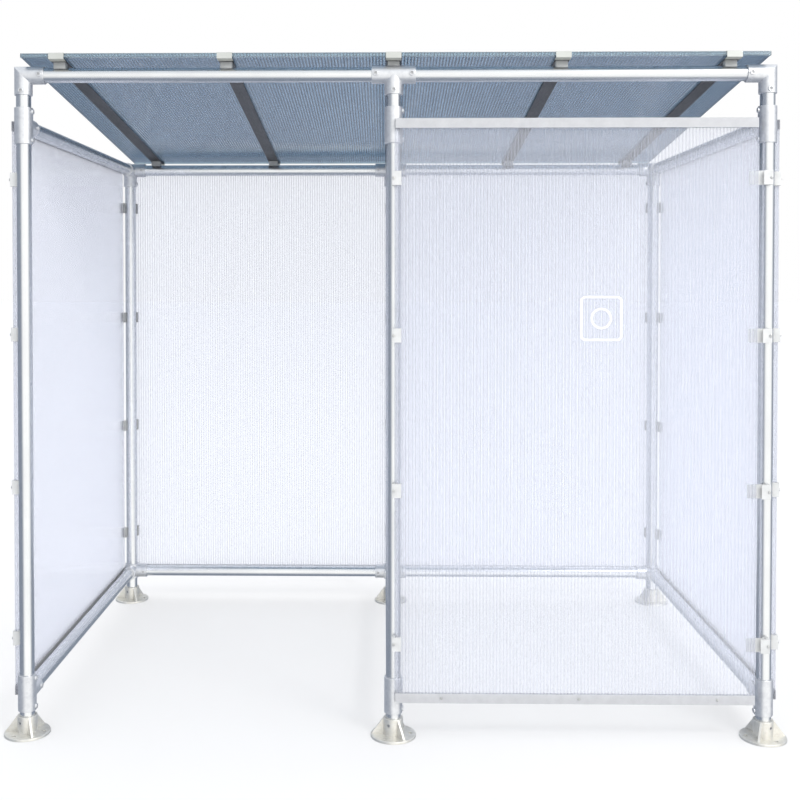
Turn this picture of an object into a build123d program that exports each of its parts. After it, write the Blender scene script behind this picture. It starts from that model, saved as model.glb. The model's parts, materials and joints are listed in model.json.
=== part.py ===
from build123d import *
import math
import os

# Open-fronted shelter: a frame of round tube in clamp fittings, twin-wall sheet walls, a sloping roof.
# Millimetres. +X is right, +Y is back, +Z is up; the origin is on the ground, under the frame's middle.

# ---- frame
TUBE_D = 48.3
TUBE_WALL = 3.2
HALF_WIDTH = 1220.0          # middle post to outer post
HALF_DEPTH = 750.0           # frame's middle to the front and rear post lines
FRONT_RAIL_Z = 2184.0
UPPER_RAIL_Z = 2018.0
LOWER_RAIL_Z = 138.0
TUBE_END_GAP = 30.0          # from a fitting's centre to the end of a tube in one of its sockets

# ---- clamp fittings
FITTING_D = 60.0
CROSS_BARREL_D = 62.0        # upright barrel of a fitting that the post passes through at the rear
ELBOW_D = 58.0
BORE_D = 48.9
BORE_START = 27.0
RIM_RADIUS = 1.5
SOCKET = 72.0                # fitting centre to the mouth of a horizontal socket
ELBOW_DROP = 66.0
TEE_HALF = 60.0
CROSS_HALF = 33.0
BACK_DROP = 76.0
BOSS_D = 17.0
BOSS_RISE = 3.5
BOSS_RADIUS = 1.2
SCREW_D = 10.0
SCREW_HOLE_D = 10.3
SCREW_INSET = 13.0           # socket mouth to the set screw's axis
HEX_RADIUS = 2.9
HEX_DEPTH = 4.0
SET_SCREW_PROUD = 1.0        # a set screw's outer end above the socket's skin
SET_SCREW_BEVEL = 0.8
TOUCH = 0.05                 # gap left where two pieces only touch
CUT_PAST = 1.0               # how far a cutter runs past the face that it opens

# ---- feet
FLANGE_D = 150.0
FLANGE_T = 8.0
FLANGE_RADIUS = 2.5
FOOT_SOCKET_D = 65.0
FOOT_HEIGHT = 62.0
FOOT_SEAT_Z = 5.0
DRAIN_D = 38.0
GUSSET_T = 7.0
GUSSET_ROOT = 3.0            # how far a gusset's root reaches into the socket's wall
GUSSET_TOE = 4.0             # its toe's distance from the flange's edge
GUSSET_TOE_RISE = 2.0
BOLT_CIRCLE_D = 112.0
BOLT_HOLE_D = 13.0
FOOT_SCREW_Z = 42.0
FOOT_SCREW_BEARING = {-1: 240.0, 0: 240.0, 1: 300.0}

# ---- sheet walls
SHEET_T = 10.0
PANEL_OFFSET = 32.0          # post axis to a wall panel's inner face
PANEL_Z0 = 126.0
PANEL_Z1 = 2034.0
PANEL_EDGE = 6.0             # post axis to the nearest panel edge, along the wall
FRONT_PANEL_END = 1178.0
TRIM_T = 1.4
TRIM_DEPTH = 30.0
TRIM_FIT = 0.1

# ---- panel clips
CLIP_HEIGHTS = (318.0, 822.0, 1330.0, 1842.0)
CLIP_H = 46.0
CLIP_OUTER = 46.0            # post axis to a clip's outer face
CLIP_INNER = 18.0
CLIP_WALL = 5.4              # half width of the part that holds the screw
CLIP_REACH = 25.0            # post axis to the tip of a clip's lips
CLIP_LONG_REACH = 68.0       # post axis to the tip of a tongue clip
CLIP_LIP = 3.4
CLIP_FIT = 0.15
CLIP_RADIUS = 2.0
CLIP_NECK = 8.0              # length of the full-thickness part beside the screw
PAN_SCREW_D = 4.6
PAN_HEAD_D = 9.5
PAN_HEAD_T = 3.0
PAN_HEAD_RADIUS = 1.4
CROSS_SLOT_L = 6.0
CROSS_SLOT_W = 1.1
CROSS_SLOT_DEPTH = 1.0
PAN_SCREW_TIP = 14.0         # post axis to the screw's tip
PAN_HOLE_D = 5.0
TRIM_SCREW_X = (150.0, 600.0, 1050.0)
TRIM_SCREW_BITE = 3.0        # depth of a trim screw's hole below the sheet's face

# ---- roof
ROOF_WIDTH = 2430.0
ROOF_FRONT = 51.0            # front rail axis to the sheet's front edge, measured level
ROOF_REAR = 64.0
BAR_X = (-1098.0, -549.0, 0.0, 549.0, 1098.0)
BAR_W = 48.0
BAR_T = 6.0
BAR_RADIUS = 1.0
BAR_SETBACK = 22.0
BAR_RISE = 40.8              # rail axis to the underside of a bar
SADDLE_W = 40.0
SADDLE_L = 28.0
SADDLE_FLOOR = 12.0          # rail axis to the underside of the block
SADDLE_RADIUS = 3.0
ROOF_TRIM_DEPTH = 10.0
END_CLIP_W = 50.0
END_CLIP_T = 1.5
END_CLIP_TOP = 24.0
END_CLIP_BOTTOM = 28.0
END_CLIP_FIT = 0.1
CSK_SCREW_D = 5.5
CSK_HEAD_D = 11.0
CSK_HEAD_T = 2.8
CSK_SCREW_L = 40.0
CSK_SINK = 0.2               # a screw head's top below the bar's face
CSK_FIT = 0.3                # clearance around a countersunk screw
CSK_RECESS_R = 1.6
CSK_RECESS_DEPTH = 1.6

# ---- sign on the front panel
SIGN_X = 674.0
SIGN_Z = 1386.0
SIGN_W = 135.0
SIGN_H = 145.0
SIGN_LINE = 6.0
SIGN_CORNER = 16.0
SIGN_T = 0.3
SIGN_DISC_R = 34.0

UP = (0, 0, 1)
DOWN = (0, 0, -1)
LEFT = (-1, 0, 0)
RIGHT = (1, 0, 0)
FRONT = (0, -1, 0)
BACK = (0, 1, 0)
FROM_BASE = (Align.CENTER, Align.CENTER, Align.MIN)
FROM_TOP = (Align.CENTER, Align.CENTER, Align.MAX)
FROM_EDGE = (Align.CENTER, Align.MIN, Align.MIN)
FROM_MOUTH = (Align.MIN, Align.MIN, Align.CENTER)
SIDES = {"left": -1, "centre": 0, "right": 1}
ROWS = {"front": -1, "rear": 1}

roof_fall = FRONT_RAIL_Z - UPPER_RAIL_Z
roof_angle = math.degrees(math.atan2(roof_fall, 2 * HALF_DEPTH))
sheet_rise = BAR_RISE + BAR_T
panel_height = PANEL_Z1 - PANEL_Z0


def along(direction, distance):
    return tuple(distance * component for component in direction)


def facing(direction, at=(0, 0, 0)):
    """A location whose Z points along direction."""
    return Plane(origin=at, z_dir=direction).location


def rod(direction, diameter, start, end):
    """A round bar on the line through the origin along direction."""
    body = Cylinder(diameter / 2, end - start, align=FROM_BASE)
    return facing(direction, along(direction, start)) * body


# ---------------------------------------------------------------- tubes


def tube(start, end):
    """A straight length of frame tube between two points."""
    run = Vector(*end) - Vector(*start)
    section = Circle(TUBE_D / 2) - Circle(TUBE_D / 2 - TUBE_WALL)
    return facing(run.normalized(), start) * extrude(section, run.length)


def clip_directions(side, row):
    """The ways that clip screws enter the post at one corner or middle of the plan."""
    directions = []
    if side:
        directions.append(RIGHT if side > 0 else LEFT)
    if row > 0:
        directions.append(BACK)
    if row < 0 and side >= 0:
        directions.append(FRONT)
    return directions


def post(side, row):
    """An upright, drilled for the clip screws that it carries."""
    x, y = side * HALF_WIDTH, row * HALF_DEPTH
    top = (FRONT_RAIL_Z if row < 0 else UPPER_RAIL_Z) - TUBE_END_GAP
    body = tube((x, y, FOOT_SEAT_Z + TOUCH), (x, y, top))
    for direction in clip_directions(side, row):
        for z in CLIP_HEIGHTS:
            hole = rod(direction, PAN_HOLE_D, PAN_SCREW_TIP, TUBE_D / 2 + CUT_PAST)
            body -= Pos(x, y, z) * hole
    return body


def cross_rail(side, y, z):
    """A rail across one bay, from the middle post to an outer post."""
    near, far = side * TUBE_END_GAP, side * (HALF_WIDTH - TUBE_END_GAP)
    return tube((near, y, z), (far, y, z))


def depth_rail(side, z):
    """A rail from a front post back to the rear post behind it."""
    x = side * HALF_WIDTH
    reach = HALF_DEPTH - TUBE_END_GAP
    return tube((x, -reach, z), (x, reach, z))


def roof_screw_cutter(x, row):
    """The pilot that a roof bar's screw needs in the rail below."""
    return roof_frame(x, row) * Cylinder(CSK_SCREW_D / 2 + CSK_FIT, 3 * TUBE_D / 2, align=FROM_BASE)


# ---------------------------------------------------------------- clamp fittings


def arm(direction, length, diameter=FITTING_D):
    """A socket arm from a fitting's centre, with a softened mouth."""
    body = Cylinder(diameter / 2, length, align=FROM_BASE)
    body = fillet(body.edges().sort_by(Axis.Z)[-1], RIM_RADIUS)
    return facing(direction) * body


def fitting(spec):
    """A cast clamp fitting: arms, screw bosses, and the bores that take the tubes."""
    (first, reach), *others = spec["arms"]
    body = arm(first, reach) if spec["through"] else arm(first, reach) + Sphere(FITTING_D / 2)
    for direction, length in others:
        body += arm(direction, length, spec["barrel"] if direction in (UP, DOWN) else FITTING_D)
    for direction, length, side in spec["screws"]:
        body += boss(direction, length, side, FITTING_D)
    for direction, length in spec["arms"]:
        start = 0 if spec["through"] and direction in (UP, DOWN) else BORE_START
        body -= rod(direction, BORE_D, start, length + CUT_PAST)
    return Pos(*spec["at"]) * (body - screw_holes(spec))


def elbow(spec):
    """A sharp mitred corner: two arms cut on the diagonal plane between them."""
    body = None
    (first, _), (second, _) = spec["arms"]
    mitre = Plane(origin=(0, 0, 0), z_dir=Vector(*first) - Vector(*second))
    for (direction, length), keep in zip(spec["arms"], (Keep.TOP, Keep.BOTTOM)):
        mouth = arm(direction, length, ELBOW_D)
        heel = rod(direction, ELBOW_D, -ELBOW_D / 2, CUT_PAST)
        half = split(mouth + heel, bisect_by=mitre, keep=keep)
        body = half if body is None else body + half
    for direction, length, side in spec["screws"]:
        body += boss(direction, length, side, ELBOW_D)
    for direction, length in spec["arms"]:
        body -= rod(direction, BORE_D, BORE_START, length + CUT_PAST)
    return Pos(*spec["at"]) * (body - screw_holes(spec))


def boss(direction, length, side, diameter):
    """The raised pad around a set screw, on the given side of an arm."""
    middle = along(direction, length - SCREW_INSET)
    pad = Cylinder(BOSS_D / 2, diameter / 2 + BOSS_RISE - BORE_D / 2, align=FROM_BASE)
    pad = fillet(pad.edges().sort_by(Axis.Z)[-1], BOSS_RADIUS)
    return Pos(*middle) * facing(side, along(side, BORE_D / 2)) * pad


def screw_holes(spec):
    """Cutters for the set screws' holes, from inside the bore outward."""
    hole_start = BORE_D / 2 - CUT_PAST
    return [
        Pos(*along(direction, length - SCREW_INSET)) * rod(side, SCREW_HOLE_D, hole_start, FITTING_D)
        for direction, length, side in spec["screws"]
    ]


def set_screw():
    """A grub screw standing on the tube, with a hexagon recess in its outer end."""
    outer = FITTING_D / 2 + SET_SCREW_PROUD
    body = Cylinder(SCREW_D / 2, outer - TUBE_D / 2 - TOUCH, align=FROM_BASE)
    body = chamfer(body.edges().sort_by(Axis.Z)[-1], SET_SCREW_BEVEL)
    recess = extrude(RegularPolygon(HEX_RADIUS, 6), HEX_DEPTH)
    return Pos(0, 0, TUBE_D / 2 + TOUCH) * body - Pos(0, 0, outer - HEX_DEPTH) * recess


def fitting_screws(spec):
    """The set screws of one fitting, in place."""
    placed = []
    for direction, length, side in spec["screws"]:
        middle = Pos(*spec["at"]) * Pos(*along(direction, length - SCREW_INSET))
        placed.append(middle * facing(side) * set_screw())
    return placed


def make_spec(at, arms, screws, through, barrel=FITTING_D):
    """A fitting's centre, its (direction, length) arms, its (direction, length, side) set screws,
    whether the post passes through it, and the diameter of its upright arms."""
    return dict(at=at, arms=arms, screws=screws, through=through, barrel=barrel)


def front_fittings(name, side):
    """The top fitting and the two long tees on one front post."""
    x = side * HALF_WIDTH
    inward = LEFT if side > 0 else RIGHT
    across = [(LEFT, SOCKET), (RIGHT, SOCKET)] if side == 0 else [(inward, SOCKET)]
    top_arms = across + [(DOWN, ELBOW_DROP)]
    tee_arms = [(UP, TEE_HALF), (DOWN, TEE_HALF), (BACK, SOCKET)]
    tee_screws = [(UP, TEE_HALF, inward), (DOWN, TEE_HALF, inward), (BACK, SOCKET, inward)]
    top_screws = [(direction, length, FRONT) for direction, length in top_arms]
    top_name = "front_centre_top_tee" if side == 0 else f"front_{name}_elbow"
    specs = {top_name: make_spec((x, -HALF_DEPTH, FRONT_RAIL_Z), top_arms, top_screws, False)}
    for level, z in (("upper", UPPER_RAIL_Z), ("lower", LOWER_RAIL_Z)):
        specs[f"front_{name}_{level}_tee"] = make_spec((x, -HALF_DEPTH, z), tee_arms, tee_screws, True)
    return specs


def rear_fittings(name, side):
    """The top and bottom fittings on one rear post."""
    x = side * HALF_WIDTH
    inward = LEFT if side > 0 else RIGHT
    across = [(LEFT, SOCKET), (RIGHT, SOCKET)] if side == 0 else [(inward, SOCKET)]
    level_arms = across + [(FRONT, SOCKET)]
    across_screws = [(direction, length, FRONT) for direction, length in across]
    top_screws = across_screws + [(FRONT, SOCKET, DOWN), (DOWN, BACK_DROP, inward)]
    bottom_screws = across_screws + [(FRONT, SOCKET, UP)]
    bottom_arms = level_arms + [(UP, CROSS_HALF), (DOWN, CROSS_HALF)]
    top = make_spec((x, HALF_DEPTH, UPPER_RAIL_Z), level_arms + [(DOWN, BACK_DROP)], top_screws, False)
    bottom = make_spec((x, HALF_DEPTH, LOWER_RAIL_Z), bottom_arms, bottom_screws, True, CROSS_BARREL_D)
    kind = "tee" if side == 0 else "corner"
    return {f"rear_{name}_top_{kind}": top, f"rear_{name}_bottom_{kind}": bottom}


# ---------------------------------------------------------------- feet


def gusset_angles(side):
    """Bearings of a foot's three gussets; the right-hand feet are turned round."""
    first = 0 if side > 0 else 180
    return [first + 120 * step for step in range(3)]


def gusset(angle):
    """A triangular web from the socket's rim to the flange's edge."""
    root, toe = FOOT_SOCKET_D / 2 - GUSSET_ROOT, FLANGE_D / 2 - GUSSET_TOE
    low, high = FLANGE_T - CUT_PAST, FOOT_HEIGHT - RIM_RADIUS
    outline = Polyline((root, low), (toe, low), (toe, FLANGE_T + GUSSET_TOE_RISE),
                       (root + GUSSET_ROOT, high), (root, high), close=True)
    web = extrude(Plane.XZ * make_face(outline), GUSSET_T / 2, both=True)
    return Rot(0, 0, angle) * web


def foot(side):
    """A cast floor flange with a socket, three gussets and three open bolt holes."""
    plate = Cylinder(FLANGE_D / 2, FLANGE_T, align=FROM_BASE)
    plate = fillet(plate.edges().sort_by(Axis.Z)[-1], FLANGE_RADIUS)
    barrel = Cylinder(FOOT_SOCKET_D / 2, FOOT_HEIGHT, align=FROM_BASE)
    body = plate + fillet(barrel.edges().sort_by(Axis.Z)[-1], RIM_RADIUS)
    bolt_hole = Pos(BOLT_CIRCLE_D / 2, 0, 0) * Cylinder(BOLT_HOLE_D / 2, 2 * (FLANGE_T + CUT_PAST))
    for angle in gusset_angles(side):
        body += gusset(angle)
        body -= Rot(0, 0, angle + 180) * bolt_hole
    body -= Pos(0, 0, FOOT_SEAT_Z) * Cylinder(BORE_D / 2, FOOT_HEIGHT, align=FROM_BASE)
    body -= Cylinder(DRAIN_D / 2, 4 * FOOT_SEAT_Z)
    body -= foot_screw_frame(side) * Cylinder(SCREW_HOLE_D / 2, FOOT_SOCKET_D, align=FROM_BASE)
    return body


def foot_screw_frame(side):
    """A frame at a foot's axis, its Z along the foot's set screw, between two gussets at the front."""
    bearing = math.radians(FOOT_SCREW_BEARING[side])
    outward = (math.cos(bearing), math.sin(bearing), 0)
    return Pos(0, 0, FOOT_SCREW_Z) * facing(outward)


# ---------------------------------------------------------------- sheet and its edge profiles


def sheet(width, length):
    """A plate standing on the XY plane, its thickness along Y from 0; the real sheet is twin-wall."""
    return Box(width, SHEET_T, length, align=(Align.CENTER, Align.MIN, Align.MIN))


def edge_trim(width, depth):
    """A U profile along X, its web under Z = 0 and its flanges up both faces of a sheet."""
    inner = SHEET_T + 2 * TRIM_FIT
    middle = SHEET_T / 2
    outside = Pos(0, middle, -TRIM_T) * Box(width, inner + 2 * TRIM_T, depth + TRIM_T, align=FROM_BASE)
    hollow = Box(width + 2 * CUT_PAST, inner, depth + CUT_PAST, align=FROM_BASE)
    return outside - Pos(0, middle, 0) * hollow


def wall(side, name):
    """Where a wall panel stands: a frame at its lower edge, Y outward, and its width."""
    if name == "front":
        width = FRONT_PANEL_END - PANEL_EDGE
        return Pos(PANEL_EDGE + width / 2, -HALF_DEPTH - PANEL_OFFSET, PANEL_Z0) * Rot(0, 0, 180), width
    if name == "rear":
        width = HALF_WIDTH - 2 * PANEL_EDGE
        return Pos(side * HALF_WIDTH / 2, HALF_DEPTH + PANEL_OFFSET, PANEL_Z0), width
    width = 2 * (HALF_DEPTH - PANEL_EDGE)
    turn = Rot(0, 0, -90 if side > 0 else 90)
    return Pos(side * (HALF_WIDTH + PANEL_OFFSET), 0, PANEL_Z0) * turn, width


WALLS = {
    "left_wall_panel": wall(-1, "side"),
    "right_wall_panel": wall(1, "side"),
    "rear_left_wall_panel": wall(-1, "rear"),
    "rear_right_wall_panel": wall(1, "rear"),
    "front_wall_panel": wall(1, "front"),
}


def wall_trims():
    """The top and bottom U profiles of every wall panel."""
    trims = []
    for frame, width in WALLS.values():
        foot_trim = edge_trim(width, TRIM_DEPTH)
        trims.append(frame * foot_trim)
        trims.append(frame * Pos(0, SHEET_T, panel_height) * Rot(180, 0, 0) * foot_trim)
    front, width = WALLS["front_wall_panel"]
    hole = rod(BACK, PAN_SCREW_D, SHEET_T - TRIM_SCREW_BITE, SHEET_T + TRIM_SCREW_BITE)
    for offset in TRIM_SCREW_X:
        trims[-2] -= front * Pos(width / 2 - offset, 0, TRIM_DEPTH / 2) * hole
    return trims


# ---------------------------------------------------------------- panel clips


def clip_body(left_reach, right_reach):
    """A clip in plan: X along the wall, Y outward from the post axis, screw at X = 0."""
    width = left_reach + right_reach
    block = Box(width, CLIP_OUTER - CLIP_INNER, CLIP_H)
    block = fillet(block.edges().filter_by(Axis.Z), CLIP_RADIUS)
    body = Pos((right_reach - left_reach) / 2, (CLIP_OUTER + CLIP_INNER) / 2, 0) * block
    body -= Cylinder(TUBE_D / 2 + 2 * TOUCH, 2 * CLIP_H)
    return body - rod(BACK, PAN_HOLE_D, 0, 2 * CLIP_OUTER)


def clip_slot(reach):
    """The mouth that takes a panel's edge, open towards +X."""
    depth = SHEET_T + 2 * CLIP_FIT
    length = reach - CLIP_WALL + CUT_PAST
    slot = Box(length, depth, 2 * CLIP_H, align=FROM_MOUTH)
    return Pos(CLIP_WALL, PANEL_OFFSET - CLIP_FIT, 0) * slot


def clip_back_relief(reach):
    """The space behind the inner lip, where the clip leaves the tube."""
    inner = PANEL_OFFSET - CLIP_FIT - CLIP_LIP
    space = Box(reach, inner, 2 * CLIP_H, align=FROM_MOUTH)
    return Pos(CLIP_WALL + CLIP_NECK, 0, 0) * space


def edge_clip(reach=CLIP_REACH):
    """Holds one panel edge."""
    return clip_body(CLIP_WALL, reach) - clip_slot(reach) - clip_back_relief(reach)


def tongue_clip():
    """Holds a panel that stops short of its post, on a long tongue behind the panel."""
    body = edge_clip(CLIP_LONG_REACH)
    space = Box(CLIP_LONG_REACH, CLIP_OUTER, 2 * CLIP_H, align=FROM_MOUTH)
    return body - Pos(CLIP_REACH, PANEL_OFFSET - CLIP_FIT, 0) * space


def joint_clip():
    """Holds the edges of two panels that meet at a post."""
    body = clip_body(CLIP_REACH, CLIP_REACH)
    for turn in (0, 1):
        cut = clip_slot(CLIP_REACH) + clip_back_relief(CLIP_REACH)
        body -= mirror(cut, about=Plane.YZ) if turn else cut
    return body


def pan_screw(start, seat):
    """A pan-head screw along +Y, its head resting at seat."""
    shank = rod(BACK, PAN_SCREW_D, start, seat)
    head = Cylinder(PAN_HEAD_D / 2, PAN_HEAD_T, align=FROM_BASE)
    head = fillet(head.edges().sort_by(Axis.Z)[-1], PAN_HEAD_RADIUS)
    slot = Box(CROSS_SLOT_L, CROSS_SLOT_W, PAN_HEAD_T, align=FROM_BASE)
    cross = Pos(0, 0, PAN_HEAD_T - CROSS_SLOT_DEPTH) * (slot + Rot(0, 0, 90) * slot)
    return shank + facing(BACK, (0, seat, 0)) * (head - cross)


def clip_places():
    """Every clip: its post's frame with Y outward, and the kind of clip there."""
    places = []
    for side in (-1, 1):
        outward = Rot(0, 0, -90 * side)
        for row in (-1, 1):
            spot = Pos(side * HALF_WIDTH, row * HALF_DEPTH, 0)
            towards_panel = "edge" if side * row > 0 else "mirrored"
            places.append((spot * outward, towards_panel))
        places.append((Pos(side * HALF_WIDTH, HALF_DEPTH, 0), "mirrored" if side > 0 else "edge"))
    places.append((Pos(0, HALF_DEPTH, 0), "joint"))
    places.append((Pos(0, -HALF_DEPTH, 0) * Rot(0, 0, 180), "mirrored"))
    places.append((Pos(HALF_WIDTH, -HALF_DEPTH, 0) * Rot(0, 0, 180), "tongue"))
    return places


def panel_clips():
    short = edge_clip()
    kinds = {
        "edge": short,
        "mirrored": mirror(short, about=Plane.YZ),
        "joint": joint_clip(),
        "tongue": tongue_clip(),
    }
    return [frame * Pos(0, 0, z) * kinds[kind] for frame, kind in clip_places() for z in CLIP_HEIGHTS]


def panel_screws():
    """The clips' screws and the small screws in the front panel's bottom trim."""
    screw = pan_screw(PAN_SCREW_TIP, CLIP_OUTER + TOUCH)
    screws = [frame * Pos(0, 0, z) * screw for frame, _ in clip_places() for z in CLIP_HEIGHTS]
    front, width = WALLS["front_wall_panel"]
    face = SHEET_T + TRIM_FIT + TRIM_T
    for offset in TRIM_SCREW_X:
        stud = pan_screw(SHEET_T + TOUCH, face + TOUCH)
        screws.append(front * Pos(width / 2 - offset, 0, TRIM_DEPTH / 2) * stud)
    return screws


# ---------------------------------------------------------------- roof


def roof_frame(x=0.0, row=-1):
    """A frame on a top rail's axis: Y down the roof's slope, Z square to the roof."""
    z = FRONT_RAIL_Z if row < 0 else UPPER_RAIL_Z
    return Pos(x, row * HALF_DEPTH, z) * Rot(-roof_angle, 0, 0)


roof_cos = math.cos(math.radians(roof_angle))
roof_start = -ROOF_FRONT / roof_cos
roof_end = (2 * HALF_DEPTH + ROOF_REAR) / roof_cos


def roof_sheet():
    """Twin-wall sheet with its flutes running down the slope."""
    length = roof_end - roof_start
    flat = Rot(-90, 0, 0) * Pos(0, -SHEET_T, 0) * sheet(ROOF_WIDTH, length)
    return roof_frame() * Pos(0, roof_start, sheet_rise) * flat


def roof_trims():
    """U profiles closing the flutes at the front and rear edges."""
    profile = edge_trim(ROOF_WIDTH, ROOF_TRIM_DEPTH)
    front = Pos(0, roof_start, sheet_rise) * Rot(-90, 0, 0) * Pos(0, -SHEET_T, 0) * profile
    rear = Pos(0, roof_end, sheet_rise) * Rot(90, 0, 0) * profile
    return [roof_frame() * front, roof_frame() * rear]


def roof_bar(x):
    """A flat bar under the sheet, countersunk over each rail."""
    start, end = roof_start + BAR_SETBACK, roof_end - BAR_SETBACK
    body = Pos(0, start, BAR_RISE) * Box(BAR_W, end - start, BAR_T, align=FROM_EDGE)
    body = roof_frame(x) * fillet(body.edges().filter_by(Axis.Y), BAR_RADIUS)
    for row in ROWS.values():
        body -= roof_frame(x, row) * Pos(0, 0, BAR_RISE + BAR_T) * countersink()
    return body


def countersink():
    """The space of a countersunk screw whose head is just below Z = 0."""
    shank_r, head_r = CSK_SCREW_D / 2, CSK_HEAD_D / 2 + CSK_FIT
    head = Cone(shank_r, head_r, CSK_HEAD_T + CSK_FIT, align=FROM_TOP)
    return head + Cylinder(shank_r + CSK_FIT, 4 * CSK_SCREW_L)


def roof_screw():
    """A countersunk screw pointing down from Z = 0, with a round drive recess."""
    head = Cone(CSK_SCREW_D / 2, CSK_HEAD_D / 2, CSK_HEAD_T, align=FROM_TOP)
    shank = Cylinder(CSK_SCREW_D / 2, CSK_SCREW_L, align=FROM_TOP)
    recess = Cylinder(CSK_RECESS_R, CSK_RECESS_DEPTH, align=FROM_TOP)
    return Pos(0, 0, -CSK_SINK) * (head + shank - recess)


def saddle(x, row):
    """A block that carries a bar on a rail, hollowed to sit on the tube or on the fitting."""
    seat = FITTING_D / 2 if x == 0 else TUBE_D / 2
    seat_d = 2 * (seat + TOUCH)
    block = Box(SADDLE_W, SADDLE_L, BAR_RISE - TOUCH - SADDLE_FLOOR, align=FROM_TOP)
    block = fillet(block.edges().filter_by(Axis.Z), SADDLE_RADIUS)
    body = Pos(0, 0, BAR_RISE - TOUCH) * block
    body -= rod(RIGHT, seat_d, -SADDLE_W, SADDLE_W)
    body -= Cylinder(CSK_SCREW_D / 2 + CSK_FIT, 3 * BAR_RISE)
    body = roof_frame(x, row) * body
    if x == 0 and row > 0:
        body -= Pos(0, HALF_DEPTH, UPPER_RAIL_Z) * rod(FRONT, seat_d, 0, SADDLE_L)
    return body


def end_clip(at_front):
    """A bent strip that closes over a bar's end, the sheet's edge and its trim."""
    low = BAR_RISE - TOUCH - END_CLIP_T
    high = sheet_rise + SHEET_T + TRIM_FIT + TRIM_T + TOUCH
    outer = -TRIM_T - END_CLIP_FIT - END_CLIP_T
    body = Pos(0, outer, low) * Box(END_CLIP_W, END_CLIP_T, high + END_CLIP_T - low, align=FROM_EDGE)
    body += Pos(0, outer, high) * Box(END_CLIP_W, END_CLIP_TOP, END_CLIP_T, align=FROM_EDGE)
    body += Pos(0, outer, low) * Box(END_CLIP_W, END_CLIP_BOTTOM, END_CLIP_T, align=FROM_EDGE)
    if at_front:
        return Pos(0, roof_start, 0) * body
    return Pos(0, roof_end, 0) * mirror(body, about=Plane.XZ)


def end_clips():
    clips = [end_clip(True), end_clip(False)]
    return [roof_frame(x) * clip for x in BAR_X for clip in clips]


# ---------------------------------------------------------------- sign


def sign():
    """A plain mark on the front panel: a rounded frame around a ring."""
    inner_w, inner_h = SIGN_W - 2 * SIGN_LINE, SIGN_H - 2 * SIGN_LINE
    frame = RectangleRounded(SIGN_W, SIGN_H, SIGN_CORNER)
    frame -= RectangleRounded(inner_w, inner_h, SIGN_CORNER - SIGN_LINE)
    ring = Circle(SIGN_DISC_R) - Circle(SIGN_DISC_R - SIGN_LINE)
    face_y = -HALF_DEPTH - PANEL_OFFSET - SHEET_T - TOUCH
    stand = Plane(origin=(SIGN_X, face_y, SIGN_Z), x_dir=(1, 0, 0), z_dir=FRONT)
    return [stand * extrude(shape, SIGN_T) for shape in (frame, ring)]


# ---------------------------------------------------------------- the whole shelter


def rails():
    """Every horizontal tube, by name; the top rails are drilled for the roof screws."""
    parts = {}
    for name, side in SIDES.items():
        run = "side" if side else "centre"
        suffix = f"_{name}" if side else ""
        parts[f"{run}_top_rail{suffix}"] = depth_rail(side, UPPER_RAIL_Z)
        parts[f"{run}_bottom_rail{suffix}"] = depth_rail(side, LOWER_RAIL_Z)
        if side == 0:
            continue
        parts[f"rear_bottom_rail_{name}"] = cross_rail(side, HALF_DEPTH, LOWER_RAIL_Z)
        for level, row in (("front", -1), ("rear", 1)):
            z = FRONT_RAIL_Z if row < 0 else UPPER_RAIL_Z
            rail = cross_rail(side, row * HALF_DEPTH, z)
            for x in BAR_X:
                if x * side > 0:
                    rail -= roof_screw_cutter(x, row)
            parts[f"{level}_top_rail_{name}"] = rail
    return parts


def centre_top_fitting(spec, row):
    """A middle top fitting, drilled for the middle roof bar's screw."""
    return fitting(spec) - roof_screw_cutter(0, row)


def build():
    """All sub-parts, by node name."""
    parts = {}
    screws = []
    for row_name, row in ROWS.items():
        for name, side in SIDES.items():
            spot = Pos(side * HALF_WIDTH, row * HALF_DEPTH, 0)
            parts[f"{row_name}_{name}_post"] = post(side, row)
            parts[f"{row_name}_{name}_foot"] = spot * foot(side)
            screws.append(spot * foot_screw_frame(side) * set_screw())
            specs = front_fittings(name, side) if row < 0 else rear_fittings(name, side)
            for node, spec in specs.items():
                parts[node] = elbow(spec) if "elbow" in node else fitting(spec)
                screws += fitting_screws(spec)
            if side == 0:
                top = next(node for node in specs if "top_tee" in node)
                parts[top] = centre_top_fitting(specs[top], row)
    parts.update(rails())
    parts["set_screws"] = screws
    for node, (frame, width) in WALLS.items():
        parts[node] = frame * sheet(width, panel_height)
    parts["wall_panel_trims"] = wall_trims()
    parts["panel_clips"] = panel_clips()
    parts["panel_screws"] = panel_screws()
    parts["roof_sheet"] = roof_sheet()
    parts["roof_edge_trims"] = roof_trims()
    for number, x in enumerate(BAR_X, start=1):
        parts[f"roof_bar_{number}"] = roof_bar(x)
    parts["roof_bar_saddles"] = [saddle(x, row) for x in BAR_X for row in ROWS.values()]
    bar_top = Pos(0, 0, BAR_RISE + BAR_T) * roof_screw()
    parts["roof_screws"] = [roof_frame(x, row) * bar_top for x in BAR_X for row in ROWS.values()]
    parts["roof_end_clips"] = end_clips()
    parts["front_panel_sign"] = sign()
    return parts


os.makedirs("parts", exist_ok=True)
for node, shape in build().items():
    if isinstance(shape, list):
        shape = Compound(children=[solid for piece in shape for solid in piece.solids()])
    export_step(shape, f"parts/{node}.step")
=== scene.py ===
import json
import math

import bpy
from mathutils import Matrix, Vector


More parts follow.
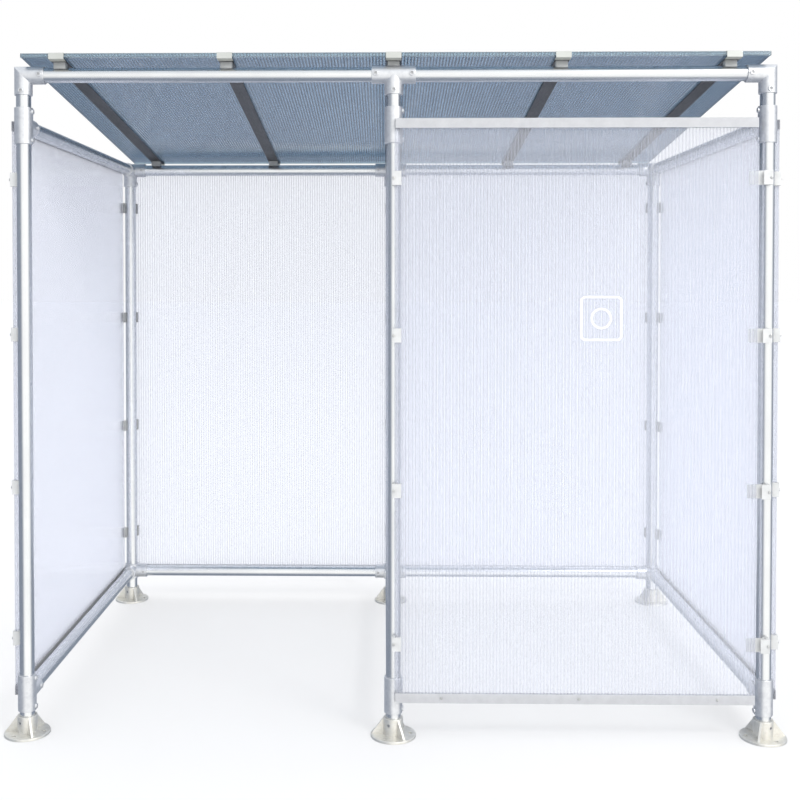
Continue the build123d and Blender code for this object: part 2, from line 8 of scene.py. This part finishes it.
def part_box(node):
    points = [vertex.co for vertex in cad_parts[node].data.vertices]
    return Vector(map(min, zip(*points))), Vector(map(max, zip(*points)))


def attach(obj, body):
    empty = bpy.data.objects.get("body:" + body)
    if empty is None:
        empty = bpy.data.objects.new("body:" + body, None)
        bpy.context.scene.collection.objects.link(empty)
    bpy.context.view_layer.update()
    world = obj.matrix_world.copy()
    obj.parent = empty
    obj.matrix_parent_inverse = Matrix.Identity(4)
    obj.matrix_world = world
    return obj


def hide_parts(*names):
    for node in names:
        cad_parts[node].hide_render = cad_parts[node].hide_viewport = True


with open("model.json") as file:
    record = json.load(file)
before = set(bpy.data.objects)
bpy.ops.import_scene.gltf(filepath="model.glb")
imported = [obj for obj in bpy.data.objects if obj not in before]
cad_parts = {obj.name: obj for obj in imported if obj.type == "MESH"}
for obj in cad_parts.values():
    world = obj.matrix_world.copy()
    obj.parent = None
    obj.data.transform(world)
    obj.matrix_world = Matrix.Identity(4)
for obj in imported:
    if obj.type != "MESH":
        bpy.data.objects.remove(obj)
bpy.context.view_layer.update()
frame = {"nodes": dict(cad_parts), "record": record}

# Looks of a tube-frame shelter. Metres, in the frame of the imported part: +X right, +Y back, +Z up.


# ---- twin-wall sheet: thickness of the sheet, of each skin and of each rib, and the ribs' spacing
SHEET_T = 0.010
SKIN_T = 0.0007
RIB_T = 0.0006
WALL_PITCH = 0.011
ROOF_PITCH = 0.0105
TILT_ROUNDS = 40

# ---- camera, for a square frame: place, turn, and a lens whose axis is off the picture's middle
CAMERA_AT = (-0.0299, -4.3193, 1.5214)
YAW_DEG = -0.917
PITCH_DEG = 1.146
FOCAL_SHARE = 1.355
SHIFT_X = 0.0412
SHIFT_Y = -0.127
SENSOR = 36.0
SENSOR_NARROW = 0.80

# ---- studio: a wide floor just under the feet, lit and partly glowing, and one lamp up to the right
FLOOR_HALF = 60.0
FLOOR_LEVEL = -0.0004
FLOOR_LIFT = 0.6
BRIGHT_SIDE = (0.45, -0.89, 0.0)
DOME = (1.30, 1.33, 1.40, 1.0)
KEY_AT = (3.4, -4.2, 4.6)
KEY_AIM = (0.0, -0.4, 1.2)
KEY_SIDE = 1.6
KEY_WATTS = 150.0
KEY_TINT = (1.0, 0.985, 0.96)

# ---- shared by the materials
WHITE = (1.0, 1.0, 1.0, 1.0)
PLASTIC_IOR = 1.5
LINE_FINE = 1500.0
LINE_LONG = 3.0
SMOOTH_ANGLE = math.radians(32)


# ---------------------------------------------------------------- shader helper


class Nodes:
    """Builds a node tree; an input given as a socket is linked, anything else is a value."""

    def __init__(self, owner):
        owner.use_nodes = True
        self.tree = owner.node_tree
        self.tree.nodes.clear()

    def node(self, kind, inputs=None, **settings):
        made = self.tree.nodes.new(kind)
        for key, value in settings.items():
            setattr(made, key, value)
        for key, value in (inputs or {}).items():
            if isinstance(value, bpy.types.NodeSocket):
                self.tree.links.new(value, made.inputs[key])
            else:
                made.inputs[key].default_value = value
        return made

    def place(self):
        return self.node("ShaderNodeTexCoord").outputs["Object"]

    def stretched(self, scale):
        return self.node("ShaderNodeMapping", {"Vector": self.place(), "Scale": scale}).outputs[0]

    def noise(self, vector, scale, detail=3.0, roughness=0.5):
        made = self.node("ShaderNodeTexNoise", {"Vector": vector, "Scale": scale, "Detail": detail,
                                                "Roughness": roughness})
        return made.outputs["Fac"]

    def remap(self, value, low, high, to_low, to_high):
        made = self.node("ShaderNodeMapRange", {"Value": value, "From Min": low, "From Max": high,
                                                "To Min": to_low, "To Max": to_high})
        return made.outputs[0]

    def share(self, value, low, high):
        """0 below low, 1 above high, straight in between."""
        return self.remap(value, low, high, 0.0, 1.0)

    def ease(self, value, low, high):
        """0 below low, 1 above high, smooth in between."""
        made = self.node("ShaderNodeMapRange", {"Value": value, "From Min": low, "From Max": high},
                         interpolation_type="SMOOTHSTEP")
        return made.outputs[0]

    def maths(self, operation, first, second=0.0):
        return self.node("ShaderNodeMath", {0: first, 1: second}, operation=operation).outputs[0]

    def dot(self, first, second):
        made = self.node("ShaderNodeVectorMath", {0: first, 1: second}, operation="DOT_PRODUCT")
        return made.outputs["Value"]

    def blend(self, share, first, second):
        made = self.node("ShaderNodeMix", {0: share, 6: first, 7: second}, data_type="RGBA")
        return made.outputs[2]

    def bump(self, height, distance, strength=1.0, normal=None):
        inputs = {"Height": height, "Distance": distance, "Strength": strength}
        if normal is not None:
            inputs["Normal"] = normal
        return self.node("ShaderNodeBump", inputs).outputs[0]

    def rounded(self, radius):
        return self.node("ShaderNodeBevel", {"Radius": radius}, samples=4).outputs[0]

    def edge_wear(self, radius, grain):
        """About 1 on convex and concave edges, broken up by a grain, and 0 on flat ground."""
        true = self.node("ShaderNodeNewGeometry").outputs["Normal"]
        edge = self.share(self.dot(self.rounded(radius), true), 0.995, 0.86)
        return self.maths("MULTIPLY", edge, self.share(grain, 0.40, 0.62))

    def gloss(self, roughness, normal):
        inputs = {"Color": WHITE, "Roughness": roughness, "Normal": normal}
        return self.node("ShaderNodeBsdfGlossy", inputs).outputs[0]

    def fresnel(self, normal):
        return self.node("ShaderNodeFresnel", {"IOR": PLASTIC_IOR, "Normal": normal}).outputs[0]

    def glow(self, shade):
        return self.node("ShaderNodeEmission", {"Color": shade, "Strength": 1.0}).outputs[0]

    def mix(self, share, first, second):
        return self.node("ShaderNodeMixShader", {0: share, 1: first, 2: second}).outputs[0]

    def principled(self, **inputs):
        keys = {key.replace("_", " "): value for key, value in inputs.items()}
        return self.node("ShaderNodeBsdfPrincipled", keys).outputs[0]


class Shader(Nodes):
    """The nodes of one new material."""

    def __init__(self, name):
        self.material = bpy.data.materials.new(name)
        super().__init__(self.material)

    def finish(self, surface):
        self.node("ShaderNodeOutputMaterial", {"Surface": surface})
        return self.material


def colour(red, green, blue):
    return (red, green, blue, 1.0)


# ---------------------------------------------------------------- materials


def tube_metal(name, stretch):
    """Drawn and polished tube: fine lines along its length, faint cloudy patches."""
    s = Shader(name)
    lines = s.noise(s.stretched(stretch), 1.0, 4.0, 0.6)
    cloud = s.noise(s.place(), 5.0, 4.0, 0.6)
    grit = s.noise(s.place(), 900.0, 2.0)
    base = s.blend(s.share(cloud, 0.3, 0.7), colour(0.84, 0.85, 0.86), colour(0.75, 0.76, 0.78))
    base = s.blend(s.remap(lines, 0.35, 0.75, 0.0, 0.35), base, colour(0.64, 0.66, 0.69))
    rough = s.maths("ADD", s.remap(lines, 0.3, 0.7, 0.17, 0.29), s.remap(cloud, 0.3, 0.7, 0.0, 0.07))
    normal = s.bump(lines, 0.00001, 0.5, s.bump(grit, 0.000008, 0.3))
    return s.finish(s.principled(Base_Color=base, Metallic=1.0, Roughness=rough, Normal=normal))


def cast_metal(name, light, dark, rough_low, rough_high, grain_size):
    """Sand-cast and galvanised: pitted skin, mottled spangle, brighter worn edges."""
    s = Shader(name)
    grain = s.noise(s.place(), grain_size, 5.0, 0.65)
    mottle = s.noise(s.place(), 60.0, 4.0, 0.6)
    spangle = s.node("ShaderNodeTexVoronoi", {"Vector": s.place(), "Scale": 160.0}).outputs["Color"]
    facet = s.node("ShaderNodeSeparateColor", {"Color": spangle}).outputs[0]
    base = s.blend(s.share(mottle, 0.3, 0.7), light, dark)
    base = s.blend(s.maths("MULTIPLY", facet, 0.22), base, colour(0.90, 0.91, 0.92))
    wear = s.edge_wear(0.0018, mottle)
    base = s.blend(s.maths("MULTIPLY", wear, 0.6), base, colour(0.93, 0.93, 0.92))
    rough = s.remap(grain, 0.3, 0.7, rough_low, rough_high)
    rough = s.maths("SUBTRACT", rough, s.maths("MULTIPLY", wear, 0.12))
    normal = s.bump(grain, 0.00012, 0.8, s.bump(mottle, 0.0003, 0.35, s.rounded(0.0009)))
    return s.finish(s.principled(Base_Color=base, Metallic=0.80, Roughness=rough, Normal=normal))


def zinc_screw(name, tint):
    """Zinc-plated steel, patchy where the plating dulls."""
    s = Shader(name)
    grain = s.noise(s.place(), 1500.0, 3.0)
    patch = s.noise(s.place(), 180.0, 2.0)
    base = s.blend(s.share(patch, 0.35, 0.65), tint, colour(0.52, 0.53, 0.55))
    normal = s.bump(grain, 0.00002, 0.6, s.rounded(0.0004))
    rough = s.remap(grain, 0.3, 0.7, 0.22, 0.40)
    return s.finish(s.principled(Base_Color=base, Metallic=0.95, Roughness=rough, Normal=normal))


def moulded_plastic(name, light, shade):
    """Injection-moulded: fine matt texture, slightly glossier and cleaner on rubbed edges; its colour
    mixes a lit and a shaded tone in random patches, as painted shade.
    """
    s = Shader(name)
    grain = s.noise(s.place(), 1200.0, 4.0)
    painted_shade_and_wear_grain = s.noise(s.place(), 35.0, 3.0)
    wear = s.edge_wear(0.0014, painted_shade_and_wear_grain)
    # painted shade: random patches of the lit tone and the shaded tone
    base = s.blend(s.share(painted_shade_and_wear_grain, 0.3, 0.7), light, shade)
    rough = s.maths("SUBTRACT", s.remap(grain, 0.3, 0.7, 0.36, 0.50), s.maths("MULTIPLY", wear, 0.12))
    normal = s.bump(grain, 0.00003, 0.6, s.rounded(0.0007))
    return s.finish(s.principled(Base_Color=base, Roughness=rough, Normal=normal,
                                 Subsurface_Weight=0.08, Subsurface_Radius=(0.002, 0.002, 0.002)))


def coated_strip(name, paint, dust, rough_low, rough_high):
    """Coated steel strip: orange-peel film, paler rubbed edges, a little dust."""
    s = Shader(name)
    peel = s.noise(s.place(), 420.0, 3.0)
    cloud = s.noise(s.place(), 14.0, 5.0, 0.6)
    scuff = s.noise(s.stretched((220.0, 14.0, 220.0)), 1.0, 3.0)
    wear = s.edge_wear(0.0012, s.noise(s.place(), 90.0))
    base = s.blend(s.remap(cloud, 0.35, 0.75, 0.0, 0.6), paint, dust)
    base = s.blend(s.maths("MULTIPLY", wear, 0.35), base, colour(0.42, 0.43, 0.44))
    rough = s.remap(peel, 0.3, 0.7, rough_low, rough_high)
    rough = s.maths("ADD", rough, s.remap(scuff, 0.4, 0.7, 0.0, 0.10))
    normal = s.bump(peel, 0.00006, 0.5, s.rounded(0.0007))
    return s.finish(s.principled(Base_Color=base, Roughness=rough, Normal=normal, Specular_IOR_Level=0.5))


def cloudy_body(s, tint, body_colour, haze, lit_side, normal=None):
    """See-through plastic with a share of haze that is lit from both sides."""
    bend = {} if normal is None else {"Normal": normal}
    through = s.node("ShaderNodeBsdfTransparent", {"Color": tint}).outputs[0]
    front = s.node("ShaderNodeBsdfDiffuse", {"Color": body_colour, **bend}).outputs[0]
    back = s.node("ShaderNodeBsdfTranslucent", {"Color": body_colour, **bend}).outputs[0]
    return s.mix(haze, through, s.mix(lit_side, front, back))


def sheet_skin(name, tint, plain, ribbed, haze_low, haze_high, rib_haze, gloss_rough, reflect):
    """The outer faces of a hollow sheet: hazy and glossy, cloudier along each rib, streaked along
    the flutes. The mesh's "flute" value counts the ribs across the sheet."""
    s = Shader(name)
    flute = s.node("ShaderNodeAttribute", attribute_name="flute").outputs["Fac"]
    film = s.noise(s.stretched((110.0, 110.0, 4.0)), 1.0, 2.0)
    swing = s.maths("COSINE", s.maths("MULTIPLY", flute, 2 * math.pi))
    rib = s.maths("POWER", s.share(swing, -1.0, 1.0), 2.0)
    haze = s.remap(film, 0.35, 0.65, haze_low, haze_high)
    haze = s.maths("ADD", haze, s.maths("MULTIPLY", rib, rib_haze))
    height = s.maths("ADD", swing, s.maths("MULTIPLY", film, 0.6))
    normal = s.bump(height, 0.00035, 1.0)
    body = cloudy_body(s, tint, s.blend(rib, plain, ribbed), haze, 0.6, normal)
    share = s.maths("MINIMUM", s.maths("MULTIPLY", s.fresnel(normal), reflect), 0.5)
    return s.finish(s.mix(share, body, s.gloss(gloss_rough, normal)))


def sheet_inside(name, tint, body_colour, haze):
    """The walls of the flutes, seen only through a skin."""
    s = Shader(name)
    return s.finish(cloudy_body(s, tint, body_colour, haze, 0.5))


def edge_plastic(name, tint, milk, haze_low, haze_high):
    """Extruded edge profile: milky, ribbed by the die along its length, slightly scuffed."""
    s = Shader(name)
    die = s.noise(s.stretched((3.0, 3.0, 900.0)), 1.0, 2.0)
    scuff = s.noise(s.place(), 30.0, 5.0, 0.65)
    haze = s.remap(scuff, 0.35, 0.65, haze_low, haze_high)
    normal = s.bump(die, 0.00003, 0.6, s.rounded(0.0005))
    body = cloudy_body(s, tint, milk, haze, 0.5, normal)
    return s.finish(s.mix(s.fresnel(normal), body, s.gloss(0.15, normal)))


def sign_film(name):
    """Thin self-adhesive film: fine grain, faintly faded in patches."""
    s = Shader(name)
    grain = s.noise(s.place(), 1400.0, 2.0)
    fade = s.noise(s.place(), 40.0, 4.0)
    base = s.blend(s.share(fade, 0.3, 0.7), colour(0.97, 0.97, 0.98), colour(0.90, 0.91, 0.93))
    normal = s.bump(grain, 0.00002, 0.5)
    rough = s.remap(grain, 0.3, 0.7, 0.28, 0.42)
    return s.finish(s.principled(Base_Color=base, Roughness=rough, Normal=normal))


LOOKS = {
    "tube_x": tube_metal("drawn_tube_x", (LINE_LONG, LINE_FINE, LINE_FINE)),
    "tube_y": tube_metal("drawn_tube_y", (LINE_FINE, LINE_LONG, LINE_FINE)),
    "tube_z": tube_metal("drawn_tube_z", (LINE_FINE, LINE_FINE, LINE_LONG)),
    "cast_fitting": cast_metal("cast_fitting",
                               colour(0.76, 0.77, 0.79), colour(0.62, 0.63, 0.66), 0.30, 0.44, 520.0),
    "cast_foot": cast_metal("cast_foot",
                            colour(0.86, 0.84, 0.78), colour(0.72, 0.70, 0.64), 0.40, 0.56, 380.0),
    "set_screw": zinc_screw("set_screw", colour(0.66, 0.66, 0.67)),
    "small_screw": zinc_screw("small_screw", colour(0.72, 0.72, 0.70)),
    # white plastic: its two tones are a lit and a shaded colour, mixed as painted shade
    "white_plastic": moulded_plastic("white_plastic",
                                     colour(0.66, 0.665, 0.655), colour(0.57, 0.575, 0.565)),
    "bent_strip": coated_strip("white_strip",
                               colour(0.50, 0.51, 0.475), colour(0.42, 0.43, 0.39), 0.30, 0.44),
    "roof_bar": coated_strip("roof_bar",
                             colour(0.040, 0.042, 0.050), colour(0.080, 0.080, 0.082), 0.34, 0.50),
    # saddle blocks: a lit and a shaded tone, mixed as painted shade
    "saddle": moulded_plastic("saddle_block", colour(0.50, 0.51, 0.50), colour(0.42, 0.43, 0.42)),
    "edge_profile": edge_plastic("edge_profile",
                                 colour(0.992, 0.994, 0.998), colour(0.98, 0.985, 1.0), 0.82, 0.90),
    "roof_profile": edge_plastic("roof_profile",
                                 colour(0.90, 0.97, 0.99), colour(0.74, 0.86, 0.90), 0.10, 0.20),
    "clear_sheet": sheet_skin("clear_sheet", colour(0.942, 0.948, 0.964), colour(0.955, 0.962, 0.985),
                              colour(0.66, 0.685, 0.76), 0.09, 0.13, 0.20, 0.12, 0.40),
    "clear_inside": sheet_inside("clear_sheet_inside",
                                 colour(0.992, 0.993, 0.998), colour(0.98, 0.98, 0.99), 0.07),
    "tinted_sheet": sheet_skin("tinted_sheet", colour(0.73, 0.84, 0.93), colour(0.40, 0.50, 0.61),
                               colour(0.020, 0.030, 0.050), 0.12, 0.18, 0.72, 0.10, 1.2),
    "tinted_inside": sheet_inside("tinted_sheet_inside",
                                  colour(0.93, 0.96, 0.985), colour(0.34, 0.40, 0.47), 0.10),
    "sign_film": sign_film("sign_film"),
}


# ---------------------------------------------------------------- CAD nodes


def tube_axis(node):
    low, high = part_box(node)
    spans = list(high - low)
    return "tube_" + "xyz"[spans.index(max(spans))]


def look_of(node, slot):
    if slot == "frame_tube":
        return LOOKS[tube_axis(node)]
    if node == "roof_edge_trims":
        return LOOKS["roof_profile"]
    if node == "roof_bar_saddles":
        return LOOKS["saddle"]
    return LOOKS[slot]


slots = {part["node"]: part["material_slot"] for part in frame["record"]["subparts"]}
for name, piece in frame["nodes"].items():
    piece.data.materials.clear()
    piece.data.materials.append(look_of(name, slots[name]))
    piece.data.shade_smooth()
    piece.data.set_sharp_from_angle(angle=SMOOTH_ANGLE)


# ---------------------------------------------------------------- twin-wall sheets


def breaks(width, pitch):
    """Across the sheet: where each rib starts and ends, the outer ribs flush with the sheet's edges."""
    cells = round((width - RIB_T) / pitch)
    step = (width - RIB_T) / cells
    places = []
    for rib in range(cells + 1):
        start = -width / 2 + rib * step
        places += [start, start + RIB_T]
    return places


def twin_wall(name, width, length, pitch, skin, inside):
    """A closed mesh of two skins and the ribs between them: X across, Y through, Z along the flutes.

    Each end has a column of points at every side of every rib. A column runs through the sheet:
    outer face, two inner faces, other outer face. Between two columns there is a rib or a flute.
    """
    across = breaks(width, pitch)
    through = (0.0, SKIN_T, SHEET_T - SKIN_T, SHEET_T)
    points = [(x, y, z) for z in (0.0, length) for x in across for y in through]
    deep = len(through)
    per_end = deep * len(across)
    outer, inner = [], []
    for column in range(len(across) - 1):
        a, b = deep * column, deep * (column + 1)
        is_rib = column % 2 == 0
        for band in ((0, 1, 2) if is_rib else (0, 2)):
            lower = (a + band, a + band + 1, b + band + 1, b + band)
            outer.append(lower)
            outer.append(tuple(per_end + index for index in reversed(lower)))
        outer.append((a, b, b + per_end, a + per_end))
        outer.append((a + 3, a + 3 + per_end, b + 3 + per_end, b + 3))
        if not is_rib:
            inner.append((a + 1, a + 1 + per_end, b + 1 + per_end, b + 1))
            inner.append((a + 2, b + 2, b + 2 + per_end, a + 2 + per_end))
            inner.append((a + 1, a + 2, a + 2 + per_end, a + 1 + per_end))
            inner.append((b + 1, b + 1 + per_end, b + 2 + per_end, b + 2))
    last = deep * (len(across) - 1)
    for band in range(3):
        outer.append((band, band + per_end, band + 1 + per_end, band + 1))
        outer.append((last + band, last + band + 1, last + band + 1 + per_end, last + band + per_end))
    mesh = bpy.data.meshes.new(name)
    mesh.from_pydata(points, [], outer + inner)
    mesh.polygons.foreach_set("material_index", [0] * len(outer) + [1] * len(inner))
    mesh.materials.append(skin)
    mesh.materials.append(inside)
    first, pitch_made = across[0] + RIB_T / 2, across[2] - across[0]
    flute = mesh.attributes.new("flute", "FLOAT", "POINT")
    flute.data.foreach_set("value", [(x - first) / pitch_made for x, _, _ in points])
    piece = bpy.data.objects.new(name, mesh)
    bpy.context.scene.collection.objects.link(piece)
    return piece


def axes(x_axis, y_axis, z_axis, origin):
    matrix = Matrix((x_axis, y_axis, z_axis)).transposed().to_4x4()
    matrix.translation = origin
    return matrix


def settle(piece, node):
    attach(piece, "root")
    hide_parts(node)


def wall_sheet(node):
    low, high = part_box(node)
    middle = (low + high) / 2
    spans = high - low
    facing_x = spans.x < spans.y
    width = spans.y if facing_x else spans.x
    sheet = twin_wall("twin_wall_" + node, width, spans.z, WALL_PITCH,
                      LOOKS["clear_sheet"], LOOKS["clear_inside"])
    if facing_x:
        sheet.matrix_world = axes((0, -1, 0), (1, 0, 0), (0, 0, 1), (low.x, middle.y, low.z))
    else:
        sheet.matrix_world = axes((1, 0, 0), (0, 1, 0), (0, 0, 1), (middle.x, low.y, low.z))
    sheet.visible_shadow = False
    settle(sheet, node)


def roof_tilt(depth, height):
    """The slope of a sheet from the box around it. With length L and thickness T, the box is
    L cos + T sin deep and L sin + T cos high, and leaving out L gives the line that is repeated."""
    tilt = math.atan2(height, depth)
    for _ in range(TILT_ROUNDS):
        tilt = math.asin((height * math.cos(tilt) - SHEET_T * math.cos(2 * tilt)) / depth)
    return tilt


def roof_sheet(node):
    """The roof's flutes run down the slope, from the high front edge to the rear."""
    low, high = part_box(node)
    spans = high - low
    tilt = roof_tilt(spans.y, spans.z)
    length = (spans.y - SHEET_T * math.sin(tilt)) / math.cos(tilt)
    sheet = twin_wall("twin_wall_" + node, spans.x, length, ROOF_PITCH,
                      LOOKS["tinted_sheet"], LOOKS["tinted_inside"])
    down_slope = (0, math.cos(tilt), -math.sin(tilt))
    square_to_roof = (0, math.sin(tilt), math.cos(tilt))
    underside_front = ((low.x + high.x) / 2, low.y, high.z - SHEET_T * math.cos(tilt))
    sheet.matrix_world = axes((-1, 0, 0), square_to_roof, down_slope, underside_front)
    settle(sheet, node)


for side in ("left", "right", "rear_left", "rear_right", "front"):
    wall_sheet(side + "_wall_panel")
roof_sheet("roof_sheet")


# ---------------------------------------------------------------- floor, light and camera


def studio_in_mirror(s, direction):
    """What metal and gloss see along a direction: bright in front of the shelter and to its right,
    slate to the left, behind and straight down."""
    bright = s.ease(s.dot(direction, BRIGHT_SIDE), 0.30, 0.80)
    return s.blend(bright, colour(0.27, 0.31, 0.38), colour(1.25, 1.25, 1.22))


def floor():
    """Pale and nearly shadowless to the camera; to shiny pieces it glows with a painted reflection of the
    studio.
    """
    s = Shader("floor")
    cloud = s.noise(s.place(), 0.8, 4.0)
    grit = s.noise(s.place(), 240.0, 3.0)
    base = s.blend(s.share(cloud, 0.3, 0.7), colour(0.82, 0.82, 0.82), colour(0.79, 0.79, 0.795))
    normal = s.bump(grit, 0.0001, 0.3)
    lit = s.principled(Base_Color=base, Roughness=0.75, Normal=normal, Specular_IOR_Level=0.2)
    incoming = s.node("ShaderNodeNewGeometry").outputs["Incoming"]
    outgoing = s.node("ShaderNodeVectorMath", {0: incoming, "Scale": -1.0}, operation="SCALE").outputs[0]
    # painted reflection: to glossy rays the floor glows with the studio's colours instead of reflecting
    painted_reflection = s.glow(studio_in_mirror(s, outgoing))
    in_gloss = s.node("ShaderNodeLightPath").outputs["Is Glossy Ray"]
    look = s.finish(s.mix(in_gloss, s.mix(FLOOR_LIFT, lit, s.glow(WHITE)), painted_reflection))
    look.cycles.emission_sampling = "NONE"
    mesh = bpy.data.meshes.new("studio_floor")
    signs = ((-1, -1), (1, -1), (1, 1), (-1, 1))
    outline = [(x * FLOOR_HALF, y * FLOOR_HALF, FLOOR_LEVEL) for x, y in signs]
    mesh.from_pydata(outline, [], [(0, 1, 2, 3)])
    mesh.materials.append(look)
    piece = bpy.data.objects.new("studio_floor", mesh)
    bpy.context.scene.collection.objects.link(piece)


def key_light():
    data = bpy.data.lights.new("key", "AREA")
    data.shape = "SQUARE"
    data.size = KEY_SIDE
    data.energy = KEY_WATTS
    data.color = KEY_TINT
    lamp = bpy.data.objects.new("key", data)
    lamp.location = KEY_AT
    lamp.rotation_euler = (Vector(KEY_AIM) - Vector(KEY_AT)).to_track_quat("-Z", "Y").to_euler()
    bpy.context.scene.collection.objects.link(lamp)


def studio_world():
    """White to the camera, a soft dome for matt surfaces, and the mirrored studio for shiny ones."""
    world = bpy.data.worlds.new("studio")
    bpy.context.scene.world = world
    s = Nodes(world)
    direction = s.node("ShaderNodeTexCoord").outputs["Generated"]
    height = s.node("ShaderNodeSeparateXYZ", {"Vector": direction}).outputs["Z"]
    overhead = s.share(height, 0.10, 0.80)
    sky = s.blend(overhead, studio_in_mirror(s, direction), colour(0.92, 0.96, 1.0))
    paths = s.node("ShaderNodeLightPath")
    lit = s.blend(paths.outputs["Is Glossy Ray"], DOME, sky)
    shown = s.blend(paths.outputs["Is Camera Ray"], lit, WHITE)
    background = s.node("ShaderNodeBackground", {"Color": shown, "Strength": 1.0}).outputs[0]
    s.node("ShaderNodeOutputWorld", {"Surface": background})


def camera():
    data = bpy.data.cameras.new("photo_camera")
    data.sensor_fit = "VERTICAL"
    data.sensor_height = SENSOR
    data.sensor_width = SENSOR * SENSOR_NARROW
    data.lens = FOCAL_SHARE * SENSOR
    data.shift_x = SHIFT_X
    data.shift_y = SHIFT_Y
    data.clip_start, data.clip_end = 0.05, 200.0
    piece = bpy.data.objects.new("photo_camera", data)
    piece.location = CAMERA_AT
    piece.rotation_euler = (math.radians(90 - PITCH_DEG), 0.0, math.radians(-YAW_DEG))
    bpy.context.scene.collection.objects.link(piece)
    bpy.context.scene.camera = piece


floor()
studio_world()
key_light()
camera()

# a ray may cross many ribs of several sheets
scene = bpy.context.scene
scene.cycles.transparent_max_bounces = 64
scene.cycles.max_bounces = 6
scene.cycles.diffuse_bounces = 3
scene.cycles.glossy_bounces = 3
scene.cycles.caustics_reflective = False
scene.cycles.caustics_refractive = False
scene.view_settings.view_transform = "Standard"
scene.view_settings.look = "None"
